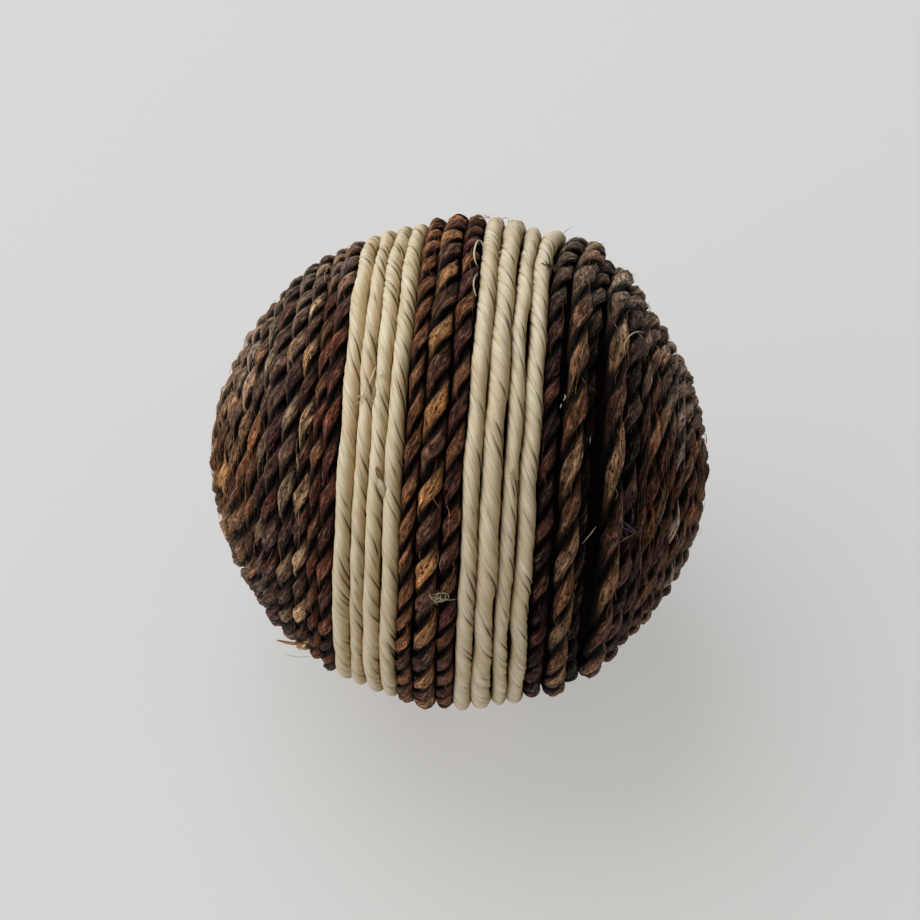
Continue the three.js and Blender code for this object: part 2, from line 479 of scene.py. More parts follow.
def corn_husk_material():
    """Dry corn husk: cream with pink and green patches and fine veins, with painted shade in its
    creases, towards each strand's edges and on its right-hand side.
    """
    n = Nodes("corn_husk")
    strand = n.attribute("strand", "Vector")
    crease = n.attribute("crease")
    painted_shade_and_brown = n.attribute("painted_shade_and_brown")
    streak = n.noise(n.scaled(strand, (0.07, 1.5, 1.5)), detail=4.0, roughness=0.62)
    veins = n.noise(n.scaled(strand, (0.10, 5.5, 5.5)), detail=3.0, roughness=0.6)
    blotch = n.noise(n.scaled(strand, (0.10, 0.30, 0.30)), detail=3.0, roughness=0.6)
    shade = n.maths("ADD", n.maths("MULTIPLY", streak, 0.55), n.maths("MULTIPLY", blotch, 0.45))
    husk = n.ramp(shade, HUSK_RAMP)
    tone = n.noise(n.scaled(strand, (0.13, 0.35, 0.35)), detail=1.0)
    husk = n.mix(n.stretch(tone, 0.52, 0.68, 0.0, 0.6), husk, HUSK["pink"])
    husk = n.mix(n.stretch(tone, 0.46, 0.33, 0.0, 0.35), husk, HUSK["green"])
    # Painted shade on each strand's right-hand side, away from the light
    shaded_side = n.maths("MULTIPLY", n.attribute("shaded_side"), n.stretch(streak, 0.35, 0.6, 0.55, 1.0))
    husk = n.mix(shaded_side, husk, HUSK["shaded_side"])
    husk = n.mix(n.stretch(veins, 0.52, 0.70, 0.0, 0.6), husk, HUSK["vein"])
    # Painted shade towards each strand's edges, where it meets the next; on husk bits the same
    # brown is their own colour
    husk = n.mix(n.stretch(painted_shade_and_brown, 0.05, 0.85, 0.0, 0.92), husk, HUSK["painted_shade_and_bit_brown"])
    # Painted shade in the creases
    colour = n.mix(crease, husk, HUSK["crease"])
    n.join(colour, n.shader.inputs["Base Color"])
    n.join(n.stretch(streak, 0.3, 0.7, 0.42, 0.62), n.shader.inputs["Roughness"])
    n.join(HUSK_GLOSS, n.shader.inputs["Specular IOR Level"])
    height = n.maths("ADD", streak, n.maths("MULTIPLY", veins, 0.4))
    n.bump(height, HUSK_RELIEF, 0.9)
    return n.material


def core_material():
    """Dark, rough former, seen only between loose turns."""
    n = Nodes("core_brown")
    place = n.add("ShaderNodeTexCoord").outputs["Object"]
    grain = n.noise(place, scale=900.0, detail=3.0)
    colour = n.ramp(grain, [(0.3, (0.003, 0.0015, 0.001)), (0.7, (0.010, 0.005, 0.003))])
    n.join(colour, n.shader.inputs["Base Color"])
    n.join(0.9, n.shader.inputs["Roughness"])
    n.join(0.05, n.shader.inputs["Specular IOR Level"])
    n.bump(grain, 0.0004, 0.8)
    return n.material


# ---------------------------------------------------------------- colours of the plies

FIBRE = {
    "pitch": (0.016, 0.005, 0.004),
    "plum": (0.085, 0.028, 0.020),
    "slate": (0.090, 0.042, 0.031),
    "umber": (0.110, 0.046, 0.027),
    "rust": (0.170, 0.052, 0.026),
    "chestnut": (0.215, 0.088, 0.039),
    "sienna": (0.290, 0.115, 0.050),
    "bark": (0.215, 0.115, 0.058),
    "tan": (0.420, 0.205, 0.085),
    "honey": (0.400, 0.185, 0.070),
    "olive": (0.270, 0.172, 0.105),
    "straw": (0.540, 0.320, 0.170),
    "ash": (0.390, 0.287, 0.212),
}


def front_values(cord, turn, values):
    """A value for each turn's front, changing over to the next turn's on the back."""
    values = np.asarray(values, float)
    place = (cord.end - turn if cord is LEFT_DARK else turn - cord.start) - 0.5
    place = np.clip(place, 0, len(values) - 1)
    whole = np.floor(place).astype(int)
    after = np.minimum(whole + 1, len(values) - 1)
    f = smoothstep(0.3, 0.7, place - whole)
    if values.ndim == 2:
        f = f[:, None]
    return values[whole] * (1 - f) + values[after] * f


# ---------------------------------------------------------------- dark two-ply cords

PLY_SIDES = 14
PLY_OFFSET = 0.46  # of a ply's middle from the cord's, in half thicknesses
PLY_REACH = 0.53  # from its own middle outwards
PLY_BREADTH = 0.72  # and to either side
FIBRE_LAY = 0.30  # radians a millimetre that a ply's fibres turn back against the twist
PLY_TAPER = 1.5  # millimetres at a cord's end
PLY_LEAST = 0.4
BULGE = 0.12  # how much fuller a lobe is at its middle than where it dives under
POLE_BULGE = 0.06  # more of that from one latitude to another
POLE_BULGE_FROM = (38, 60)
POLE_ROUGHNESS = 1.2
POLE_ROUGHNESS_FROM = (45, 70)
SPLITS_OVER = (0.50, 0.80)  # of the noise
SPLIT_DEPTH = 0.24
# Painted shade: how much goes in the splits, and where it gives way outwards on the cord and on
# each ply
SPLIT_CAVITY = 0.5
OPEN_OUTWARD = (-0.25, 0.75)  # half thicknesses out from the cord's middle
OPEN_ON_PLY = (-0.40, 0.45)  # and out from the ply's own

# The cords' unevenness: its strength, and the millimetres that it changes over.
TWIST_NOISE = (0.16, 23)
SWAY_NOISE = (0.07, 9)
HEAVE_NOISE = (0.16, 7)
PLY_TURN_NOISE = (0.22, 7)
PLY_SIZE_NOISE = (0.13, 5)
RIDGE_NOISE = (0.09, 5.5)
FINE_RIDGE_NOISE = (0.05, 1.7)
SPLIT_NOISE = (1, 8)
SHADE_NOISE = (0.20, 12)
RED_NOISE = (0.14, 15)
LOBE_SHADE = 0.38
LOBE_ASH = (0.6, 0.4)
FIBRE_APART = 53.7  # steps of the noise between one line of fibres and the next
PLY_APART = 700.0
PLY_STREAKS_APART = 900.0

# Painted sheen: the share of ash on the upper side of the dark turns, and the latitudes it comes in
# over.
POLE_SHEEN_ASH = 0.75
POLE_SHEEN_ASH_FROM = (34, 62)
BAND_SHEEN_ASH = 0.60
BAND_SHEEN_ASH_FROM = (14, 22)
LOWER_ASH_SHARE = 0.6


def bleached(cord, turn):
    """The share of ash in a dark cord's colour: painted sheen over the upper side of the turns,
    from beside the pale bands to the poles, and a smaller share on the lower side near the poles.
    """
    angle = front_angle(turn)
    latitude = np.abs(cord.latitude(turn))
    ash_sides = window(angle, *UPPER) + LOWER_ASH_SHARE * window(angle, *LOWER)
    poles = POLE_SHEEN_ASH * ash_sides * smoothstep(*POLE_SHEEN_ASH_FROM, latitude)
    bands = BAND_SHEEN_ASH * window(angle, *SHOULDER) * smoothstep(*BAND_SHEEN_ASH_FROM, latitude)
    return np.maximum(poles, bands)


def fibre_noise(noise, line, ply, seed):
    """Noise that each line of a ply's fibres has to itself."""
    apart = np.arange(PLY_SIDES)[None, :] * FIBRE_APART + PLY_APART * ply
    return waver(noise, line["length"][:, None], seed, apart)


def ply_tint(cord, line, ply, names, seed):
    """A ply's colour, which changes from turn to turn, lobe to lobe and fibre to fibre."""
    lobe = line["twist"] / (2 * np.pi) + ply / 2 + 0.25  # whole in the middle of each lobe
    # Ash painted as sheen, more on some lobes than on others
    pale = line["bleach"] * (LOBE_ASH[0] + LOBE_ASH[1] * wander(lobe, seed + 20))
    tint = front_values(cord, line["turn"], [FIBRE[name] for name in names])
    tint = tint * (1 - pale[:, None]) + np.array(FIBRE["ash"]) * pale[:, None]
    shade = 1 + fibre_noise(SHADE_NOISE, line, ply, seed + 10)
    shade = shade * (1 + LOBE_SHADE * wander(lobe, seed + 12 + ply)[:, None])
    redness = 1 + fibre_noise(RED_NOISE, line, ply, seed + 11)
    reddened = np.stack([redness, np.ones_like(redness), 1 / redness], axis=-1)
    return tint[:, None, :] * shade[..., None] * reddened


def ply_tube(cord, line, ply, names, seed):
    """One ply of a dark cord: it circles the cord's middle, and its fibres turn back on it."""
    length = line["length"]
    turned = line["twist"] + np.pi * ply + waver(PLY_TURN_NOISE, length, seed + 5 + ply)
    turned = turned[:, None]
    fullness = 1 + waver(PLY_SIZE_NOISE, length, seed + 3 + ply)
    swell = 1 + line["bulge"][:, None] * np.cos(2 * turned)
    ridge = fibre_noise(RIDGE_NOISE, line, ply, seed + 7)
    ridge += fibre_noise(FINE_RIDGE_NOISE, line, ply, seed + 8)
    split = smoothstep(*SPLITS_OVER, fibre_noise(SPLIT_NOISE, line, ply, seed + 9))
    shape = fullness[:, None] * swell * (1 + ridge - SPLIT_DEPTH * split)

    corner = np.arange(PLY_SIDES) * 2 * np.pi / PLY_SIDES
    lay = corner[None, :] - FIBRE_LAY * length[:, None]
    inward = PLY_OFFSET + shape * PLY_REACH * np.cos(lay)
    across = shape * PLY_BREADTH * np.sin(lay)
    out = np.cos(turned) * inward - np.sin(turned) * across
    side = np.sin(turned) * inward + np.cos(turned) * across
    # Painted shade on the sides of the plies, where they meet
    painted_shade_and_brown = 1 - smoothstep(*OPEN_OUTWARD, out) * smoothstep(*OPEN_ON_PLY, np.cos(lay))
    half_out, half_side = line["half_out"][:, None], line["half_side"][:, None]
    return {
        "rings": ring_points(line, line["centre"], half_out, half_side, out, side),
        "attributes": {
            "strand": strand_place(length[:, None] + PLY_STREAKS_APART * ply, corner, shape.shape),
            "tint": ply_tint(cord, line, ply, names, seed),
            "painted_shade_and_brown": np.clip(painted_shade_and_brown + SPLIT_CAVITY * split, 0, 1),
        },
        "out": line["out"], "out_part": out, "step": line["step"],
    }


def dark_cord(cord, step, twist_lengths, colours, seed, material, fills=(1,), sinks=(0,)):
    """Two plies twisted round each other along the cord's course.

    The lists have a value for each turn's front, counted from the pale band beside the cord:
    millimetres to a full twist, the two plies' colours, the share of its width that the cord
    fills, and millimetres that it lies under its neighbours.
    """
    line = course(cord, step)
    length, turn = line["length"], line["turn"]
    latitude = np.abs(cord.latitude(turn))
    facing = window(front_angle(turn), *FACING)
    pitch = front_values(cord, turn, twist_lengths) * (1 + waver(TWIST_NOISE, length, seed))
    fill = 1 - (1 - front_values(cord, turn, fills)) * facing
    sink = front_values(cord, turn, sinks) * facing
    rough = 1 + POLE_ROUGHNESS * smoothstep(*POLE_ROUGHNESS_FROM, latitude)
    sway = line["width"] * waver(SWAY_NOISE, length, seed + 1) * rough
    heave = waver(HEAVE_NOISE, length, seed + 2) * rough - sink
    taper = end_taper(length, PLY_TAPER, PLY_LEAST)
    line["step"] = step
    line["twist"] = np.cumsum(2 * np.pi * np.gradient(length) / pitch)
    line["bleach"] = bleached(cord, turn)
    line["bulge"] = BULGE + POLE_BULGE * smoothstep(*POLE_BULGE_FROM, latitude)
    line["centre"] = line["points"] + sway[:, None] * line["side"] + heave[:, None] * line["out"]
    line["half_out"] = line["thickness"] / 2 * taper
    line["half_side"] = line["width"] / 2 * fill * taper
    plies = [ply_tube(cord, line, ply, [pair[ply] for pair in colours], seed) for ply in (0, 1)]
    piece_from_tubes(cord.name + "_plies", plies, material, cord.name)
    return plies


# ---------------------------------------------------------------- pale husk cords

CREASES = 7
HUSK_LAY = 19.0  # millimetres to a full twist of the strand
HUSK_TAPER = 1.2  # millimetres at a cord's end
HUSK_LEAST = 0.6
HUSK_STREAKS = 1.7  # half the strand's breadth, as its streaks are laid out

# Five lines of points to a crease: its bottom, its lip, two on the swell and the next lip.
LINE_PLACES = np.array([0.0, 0.12, 0.38, 0.68, 0.90])  # share of the way to the next crease
LINE_OWN = np.array([1.0, 1.0, 0.5, 0.0, 0.0])  # share of this crease's drift in the line's
CREASE_UNEVEN = 0.30
CREASE_DRIFT = 0.20
CREASE_DEPTH = 0.30
LIP_HEIGHT = 0.17
NEXT_LIP_DEPTH = 0.08
SWELL_HEIGHT = (0.09, 0.07)  # millimetres, and how much of it comes and goes
SWELL_FALL = (0.04, -0.05)
CREASE_OPENS = (-0.05, 0.55)  # over this much of the noise
# The creases' darkness is painted shade: how much of it each of the five lines takes
CREASE_SHOWS = np.array([1.0, 0.15, 0.0, 0.0, 0.10])  # how dark it makes each of its five lines

# The strand's right-hand side, away from the light: its creases are deeper, and painted shade makes
# them darker and the husk browner there.
SHADED_SIDE_FROM = (-0.4, 0.8)
SHADED_SIDE_DEPTH = (0.4, 0.9)
SHADED_SIDE_CREASE = (0.3, 1.3)
SHADED_SIDE_COLOUR_FROM = (0.0, 0.85)
# Where the painted shade towards the strand's edges gives way
HUSK_OPEN_OUTWARD = (-0.15, 0.55)

HUSK_LAY_NOISE = (0.30, 12)
HUSK_SWAY_NOISE = (0.09, 9)
HUSK_HEAVE_NOISE = (0.12, 14)
LUMP_NOISE = (0.08, 8)
FINE_LUMP_NOISE = (0.06, 3.2)
DRIFT_NOISE = (1, 5)
OPENING_NOISE = (1, 4.5)
SWELL_NOISE = (1, 6)
CREASE_APART = 41.3  # steps of the noise between one crease and the next


def pale_cord(cord, step, fills, seed, material):
    """One strand wrapped in corn husk, its creases running round it as it is twisted."""
    line = course(cord, step)
    length, turn = line["length"], line["turn"]
    lay = HUSK_LAY * (1 + waver(HUSK_LAY_NOISE, length, seed))
    twist = -np.cumsum(2 * np.pi * np.gradient(length) / lay)
    sway = line["width"] * waver(HUSK_SWAY_NOISE, length, seed + 1)
    heave = waver(HUSK_HEAVE_NOISE, length, seed + 2)
    centre = line["points"] + sway[:, None] * line["side"] + heave[:, None] * line["out"]
    lump = 1 + waver(LUMP_NOISE, length, seed + 3) + waver(FINE_LUMP_NOISE, length, seed + 4)

    spread = 2 * np.pi / CREASES
    owner = np.repeat(np.arange(CREASES), len(LINE_PLACES))
    kinds = np.tile(np.arange(len(LINE_PLACES)), CREASES)
    own = LINE_OWN[kinds]
    fixed = owner * spread + LINE_PLACES[kinds] * spread
    rng = np.random.default_rng(seed + 5)
    uneven = rng.uniform(-CREASE_UNEVEN, CREASE_UNEVEN, CREASES) * spread
    angle = fixed + (uneven[owner] * own + np.roll(uneven, -1)[owner] * (1 - own))

    def per_crease(noise, number):
        """Noise for each crease along the strand, and for the crease after it."""
        apart = np.arange(CREASES)[None, :] * CREASE_APART
        each = waver(noise, length[:, None], number, apart)
        return each[:, owner], np.roll(each, -1, axis=1)[:, owner]

    drift, next_drift = per_crease(DRIFT_NOISE, seed + 6)
    drift = CREASE_DRIFT * (drift * own + next_drift * (1 - own))
    open_here, open_next = per_crease(OPENING_NOISE, seed + 7)
    open_here = smoothstep(*CREASE_OPENS, open_here)
    open_next = smoothstep(*CREASE_OPENS, open_next)
    swell, _ = per_crease(SWELL_NOISE, seed + 8)
    depth = np.choose(kinds, [
        -CREASE_DEPTH * open_here,
        LIP_HEIGHT * open_here,
        SWELL_HEIGHT[0] + SWELL_HEIGHT[1] * swell,
        SWELL_FALL[0] + SWELL_FALL[1] * swell,
        -NEXT_LIP_DEPTH * open_next])
    turned = angle[None, :] + drift + twist[:, None]
    shaded_side = smoothstep(*SHADED_SIDE_FROM, np.sin(turned))
    depth = np.where(kinds <= 1, depth * (SHADED_SIDE_DEPTH[0] + SHADED_SIDE_DEPTH[1] * shaded_side), depth)
    taper = end_taper(length, HUSK_TAPER, HUSK_LEAST)
    half_out = (line["thickness"] / 2 * lump * taper)[:, None] + depth
    fill = front_values(cord, turn, fills)
    half_side = (line["width"] / 2 * fill * lump * taper)[:, None] + depth
    out = np.cos(turned)
    side = np.sin(turned)
    opening = np.where(kinds == kinds.max(), open_next, open_here)
    shown = CREASE_SHOWS[kinds] * opening
    tube = {
        "rings": ring_points(line, centre, half_out, half_side, out, side),
        "attributes": {
            # Painted shade: in the creases, darker on the right-hand side; towards the edges; and
            # over the right-hand side
            "strand": strand_place(length[:, None], fixed, turned.shape, HUSK_STREAKS),
            "crease": shown * (SHADED_SIDE_CREASE[0] + SHADED_SIDE_CREASE[1] * shaded_side),
            "painted_shade_and_brown": 1 - smoothstep(*HUSK_OPEN_OUTWARD, out),
            "shaded_side": smoothstep(*SHADED_SIDE_COLOUR_FROM, side),
        },
    }
    piece_from_tubes(cord.name + "_husk", [tube], material, cord.name)


# ---------------------------------------------------------------- loose fibres

HAIR_POINTS = 7
HAIR_SIDES = 3
HAIR_ACROSS = np.array([0.31, 0.52, 0.79])  # a direction that no hair runs along
LIFTING_SHARE = 0.6  # of the loose fibres lift at one end, and the rest in the middle
BRIDGE_STEP = 0.8
BRIDGE_ROOM = 24  # steps at a cord's end where no fibre starts
FRAYED_SHARE = 3.0  # more fibres start on the frayed turns


def hair_shape(along):
    """A hair's thickness along it, as a share of that at its middle."""
    return 1 - 0.75 * np.abs(2 * along - 1) ** 3


def hair_tube(points, thick, tint):
    """A thin tube through points, with the dark fibre's attributes."""
    forward = unit(np.gradient(points, axis=0))
    first = unit(np.cross(forward, HAIR_ACROSS))
    second = np.cross(forward, first)
    angle = np.arange(HAIR_SIDES) * 2 * np.pi / HAIR_SIDES
    ring = (np.cos(angle)[None, :, None] * first[:, None, :]
            + np.sin(angle)[None, :, None] * second[:, None, :])
    rings = points[:, None, :] + np.asarray(thick)[:, None, None] * ring
    shape = rings.shape[:2]
    strand = np.zeros((*shape, 3))
    strand[..., 0] = lengths_along(points)[:, None] + points[0, 0] * 7
    return {"rings": rings, "attributes": {
        "strand": strand, "tint": np.broadcast_to(tint, (*shape, 3)),
        "painted_shade_and_brown": np.zeros(shape)}}


def loose_fibres(name, plies, count, seed, material):
    """Fine fibres that lift off the plies, most of them running along."""
    rng = np.random.default_rng(seed)
    tubes = []
    q = np.linspace(0, 1, HAIR_POINTS)
    while len(tubes) < count:
        ply = plies[rng.integers(len(plies))]
        rings = ply["rings"]
        steps = rng.uniform(1.5, 8.0) / ply["step"]
        start = rng.uniform(2, len(rings) - steps - 3)
        line = rng.integers(PLY_SIDES)
        way = rng.uniform(-3, 3)
        lifted = rng.uniform(0.0, 0.9) ** 5
        curl = q ** 2 if rng.random() < LIFTING_SHARE else np.sin(np.pi * q)
        thick = rng.uniform(0.025, 0.085) * hair_shape(q)
        brightness = rng.uniform(0.7, 2.4)
        rows = (start + q * steps).astype(int)
        columns = (line + np.round(q * way).astype(int)) % PLY_SIDES
        if ply["out_part"][rows, columns].min() < 0.1:
            continue
        points = rings[rows, columns] + (0.02 + lifted * curl)[:, None] * ply["out"][rows]
        tint = ply["attributes"]["tint"][rows, columns].mean(axis=0) * brightness
        tubes.append(hair_tube(points, thick, tint))
    piece_from_tubes(name, tubes, material)


def bridging_fibres(name, cord, count, colours, seed, material, frayed=(90, 90)):
    """Fine fibres that lie along a cord over its lobes, most of them on the frayed turns.

    The frayed turns are given by the latitudes that they lie between.
    """
    line = course(cord, BRIDGE_STEP)
    rng = np.random.default_rng(seed)
    latitude = cord.latitude(line["turn"])
    weight = 1.0 + FRAYED_SHARE * ((latitude > frayed[0]) & (latitude < frayed[1]))
    weight = weight[:-BRIDGE_ROOM]
    starts = rng.choice(len(weight), count, p=weight / weight.sum())
    tints = front_values(cord, line["turn"], [
        (np.array(FIBRE[a]) + FIBRE[b]) / 2 for a, b in colours])
    tubes = []
    q = np.linspace(0, 1, HAIR_POINTS)
    for start in starts:
        rows = (start + q * rng.uniform(3, 14)).astype(int)
        sideways = rng.uniform(-0.75, 0.75) + rng.uniform(-0.7, 0.7) * q
        sideways = np.clip(sideways + 0.15 * np.sin(7 * q + rng.uniform(0, 6)), -0.95, 0.95)
        arch = np.sqrt(1 - 0.7 * sideways ** 2) * (0.93 + 0.10 * np.sin(np.pi * q))
        lifted = rng.uniform(0, 1) ** 9 * 1.1 * q ** 2
        points = (line["points"][rows]
                  + (sideways * line["width"][rows] / 2)[:, None] * line["side"][rows]
                  + (arch * line["thickness"][rows] / 2 + lifted)[:, None] * line["out"][rows])
        thick = rng.uniform(0.03, 0.085) * hair_shape(q)
        tint = tints[rows[3]] * rng.uniform(0.6, 2.2) + 0.02 * rng.uniform(0, 1)
        tubes.append(hair_tube(points, thick, tint))
    piece_from_tubes(name, tubes, material)


# ---------------------------------------------------------------- frays and caught bits

STRIP_SIDES = 6


def smooth_path(knots, count):
    """Points of a smooth curve through knots of latitude, angle from the front, and height."""
    knots = np.asarray(knots, float)
    padded = np.concatenate([2 * knots[:1] - knots[1:2], knots, 2 * knots[-1:] - knots[-2:-1]])
    at = np.linspace(0, len(knots) - 1, count)
    whole = np.minimum(at.astype(int), len(knots) - 2)
    f = (at - whole)[:, None]
    a, b, c, d = (padded[whole + i] for i in range(4))
    lat, angle, height = (0.5 * (2 * b + (c - a) * f + (2 * a - 5 * b + 4 * c - d) * f ** 2
                                 + (3 * b - a - 3 * c + d) * f ** 3)).T
    return ball_point(lat, angle + CAMERA_ELEVATION, BALL_RADIUS + height)


def strip(knots, width, thick, tint=None, shade=0.0, tilt=0.0, count=12):
    """A flat strip or a hair, pointed at its ends.

    With a tint it is bark fibre. Without one it is husk, browner the more its shade is: the brown
    of the husk's painted shade, which here also gives a bit its own brown, with half the painted
    shade of a strand's right-hand side where there is any.
    """
    points = smooth_path(knots, count)
    q = np.linspace(0, 1, count)
    profile = np.sin(np.pi * (0.04 + 0.92 * q)) ** 0.6
    along = unit(np.gradient(points, axis=0))
    side = unit(np.cross(along, unit(points)))
    face = np.cross(side, along)
    tilt = math.radians(tilt)
    wide = math.cos(tilt) * side + math.sin(tilt) * face
    thin = math.cos(tilt) * face - math.sin(tilt) * side
    angle = np.arange(STRIP_SIDES) * 2 * np.pi / STRIP_SIDES
    ring = (width / 2 * np.cos(angle)[None, :, None] * wide[:, None, :]
            + thick / 2 * np.sin(angle)[None, :, None] * thin[:, None, :])
    rings = points[:, None, :] + profile[:, None, None] * ring
    shape = rings.shape[:2]
    along_strip = lengths_along(points)[:, None] + 7 * points[0, 0]
    attributes = {"strand": strand_place(along_strip, angle, shape, width)}
    if tint is None:
        attributes["crease"] = np.zeros(shape)
        attributes["painted_shade_and_brown"] = np.full(shape, shade)
        attributes["shaded_side"] = np.full(shape, 0.5 if shade else 0.0)
    else:
        attributes["tint"] = np.broadcast_to(tint, (*shape, 3))
        attributes["painted_shade_and_brown"] = np.zeros(shape)
    return {"rings": rings, "attributes": attributes}


def spray(place, count, length, thick, seed, tint=None, shade=0.0, spread=0.3, curl=40, rise=0.6):
    """Short hairs that stand out every way from one place."""
    rng = np.random.default_rng(seed)
    hairs = []
    for _ in range(count):
        root = np.array(place, float)
        root[:2] += rng.uniform(-spread, spread, 2)
        heading = rng.uniform(0, 2 * np.pi)
        bend = math.radians(rng.uniform(-curl, curl))
        knots = [root]
        for q in (0.35, 0.7, 1.0):
            far = length * rng.uniform(0.6, 1.2) / 3
            turned = heading + bend * q
            knots.append(knots[-1] + np.array([far * math.sin(turned), far * math.cos(turned),
                                               rise * rng.uniform(-0.15, 0.5)]))
        hairs.append(strip(knots, thick, thick, tint, shade, count=8))
    return hairs


PALE_BITS = [
    # A flap of husk, and above it a brown strip for the fold, partly a painted shadow
    strip([(-16.3, -4.6, -0.75), (-15.5, -5.8, -0.35), (-14.9, -7.2, -0.45), (-14.6, -9.0, -1.3)],
          1.6, 0.16, shade=0.12, tilt=16),
    strip([(-16.9, -1.8, -0.75), (-16.0, -3.6, -0.7), (-15.0, -5.8, -0.9)], 1.0, 0.10, shade=0.9),
    # White fibre and a brown tear on the second turn
    strip([(-18.1, 21.4, -0.7), (-18.4, 19.4, -0.2), (-18.9, 18.0, -0.3), (-19.5, 16.9, -0.6)],
          0.32, 0.14),
    strip([(-18.3, 17.0, -1.0), (-18.2, 15.2, -0.75), (-18.5, 13.2, -0.8)], 0.6, 0.10, shade=0.6),
    # A curl on the third turn of the right-hand band
    strip([(13.5, -0.9, -0.2), (13.9, -1.5, 0.1), (13.5, -2.1, 0.2), (12.9, -1.8, 0.2),
           (12.9, -1.1, 0.1), (13.3, -0.8, 0.0)], 0.26, 0.22, shade=0.35),
    # Slivers that stand off the edge of the right-hand band
    strip([(2.8, 49.0, -0.5), (2.0, 51.0, 0.1), (1.8, 54.0, 0.3), (2.2, 57.7, 0.4),
           (3.0, 58.8, 0.2), (3.7, 56.8, -0.3)], 0.34, 0.14),
    strip([(2.9, 47.0, -0.6), (2.3, 44.4, -0.2), (2.3, 41.8, -0.2), (3.0, 39.3, -0.6)], 0.28, 0.14),
    # White bits caught in the dark turns
    strip([(33.2, -15.1, -0.3), (31.3, -17.0, 0.1), (29.5, -18.9, 0.2)], 0.20, 0.14),
    strip([(23.9, 17.4, -0.5), (23.9, 16.6, 0.0), (23.6, 15.7, -0.4)], 0.34, 0.16),
    strip([(23.3, 15.0, -0.5), (23.1, 13.9, -0.5)], 0.22, 0.14),
    strip([(31.0, 8.0, -1.0), (31.1, 6.4, -1.0)], 0.22, 0.14),
    strip([(43.9, 47.0, 0.6), (40.3, 42.5, 1.6), (37.4, 37.5, 2.1), (36.4, 33.8, 2.2),
           (37.1, 31.8, 2.0)], 0.26, 0.12, shade=0.1),
    strip([(40.3, 42.5, 1.6), (42.2, 42.6, 1.3), (43.8, 44.2, 0.4)], 0.16, 0.12, shade=0.2),
    # White tangle between the middle turns
    strip([(-3.9, -28.6, 0.5), (-3.3, -30.2, 0.8), (-2.4, -31.4, 0.6), (-1.8, -32.6, 0.2)],
          0.12, 0.10),
    strip([(-3.0, -29.6, 0.6), (-1.6, -28.8, 1.1), (-0.2, -29.2, 0.7), (-0.6, -30.8, 0.9),
           (-2.2, -31.0, 0.9), (-2.6, -30.0, 0.6)], 0.11, 0.10),
    strip([(-2.4, -29.2, 0.4), (-1.0, -30.6, 1.0), (0.4, -30.2, 0.6), (0.1, -28.9, 0.9),
           (-1.3, -28.6, 0.8)], 0.11, 0.10),
    strip([(-1.8, -30.4, 0.7), (0.2, -30.6, 0.7), (2.1, -30.6, 0.3)], 0.10, 0.10),
    strip([(-2.4, -31.8, 0.5), (-1.2, -30.2, 0.9), (-1.9, -28.4, 0.5)], 0.10, 0.10),
    strip([(-1.5, -23.8, 0.2), (-1.7, -22.3, 0.5), (-1.4, -20.9, 0.2)], 0.09, 0.09),
]
PALE_BITS += spray((-17.2, 19.0, -0.75), 8, 1.6, 0.09, 201, rise=0.15)
PALE_BITS += spray((-19.6, 14.0, -0.85), 26, 2.0, 0.10, 202, spread=1.5, rise=0.08)
PALE_BITS += spray((13.0, -2.4, -0.15), 12, 1.2, 0.09, 203, shade=0.25, spread=0.9, rise=0.1)
PALE_BITS += spray((-1.9, -30.4, 0.5), 8, 1.8, 0.08, 204, spread=0.9, curl=150)
PALE_BITS += spray((8.1, 56.8, -1.0), 7, 0.7, 0.42, 205, shade=0.1, spread=0.8)
PALE_BITS += spray((7.4, 53.0, -1.1), 6, 0.6, 0.38, 206, shade=0.2, spread=0.8)
PALE_BITS += spray((8.6, 60.0, -1.1), 4, 0.6, 0.30, 207, shade=0.1, spread=0.7)
PALE_BITS += spray((5.0, 81.0, -0.3), 9, 1.3, 0.26, 210, spread=2.2, rise=0.7)
PALE_BITS += spray((10.5, 81.0, -0.3), 9, 1.3, 0.26, 211, spread=2.2, rise=0.7)

DARK_BITS = [
    # Purplish fibres between the loose turns
    strip([(39.6, -14.2, 0.6), (41.8, -16.8, 0.9), (44.0, -19.0, 0.3)], 0.7, 0.20,
          (0.105, 0.060, 0.115), tilt=20),
    strip([(39.9, -16.2, 0.4), (41.8, -17.6, 0.6), (43.9, -19.4, 0.2)], 0.3, 0.16,
          (0.16, 0.10, 0.17)),
    strip([(42.4, -8.8, -0.4), (42.9, -12.0, 0.0), (42.7, -16.0, 0.2)], 0.18, 0.14,
          (0.15, 0.09, 0.14)),
    strip([(43.4, -8.0, -0.3), (43.6, -12.0, 0.0), (43.0, -15.0, 0.2)], 0.14, 0.12,
          (0.12, 0.075, 0.11)),
    strip([(38.3, -20.2, 1.0), (41.0, -19.2, 0.9), (44.2, -19.0, 0.2)], 0.26, 0.16,
          (0.34, 0.29, 0.14)),
    strip([(46.4, -10.6, 0.1), (46.8, -13.0, 0.3), (46.5, -16.0, 0.1)], 0.4, 0.16,
          (0.30, 0.030, 0.018)),
    # A chip and hairs that stand out past the outline
    strip([(-34.6, -66.6, -0.8), (-37.4, -67.8, 0.8), (-40.6, -68.5, 2.3)], 0.95, 0.55,
          (0.50, 0.22, 0.06)),
    strip([(-34.3, -80.0, -0.4), (-36.5, -81.0, 1.2), (-39.4, -80.8, 2.6)], 0.09, 0.09,
          (0.20, 0.17, 0.15)),
    strip([(21.3, 82.0, -0.3), (21.8, 88.0, 1.2), (22.6, 92.0, 2.9)], 0.10, 0.10,
          (0.06, 0.045, 0.04)),
    # A tuft over the last pale turn
    strip([(20.4, 53.2, -0.4), (19.3, 54.1, 0.3), (17.9, 54.8, 0.1)], 0.5, 0.3,
          (0.13, 0.08, 0.045)),
]
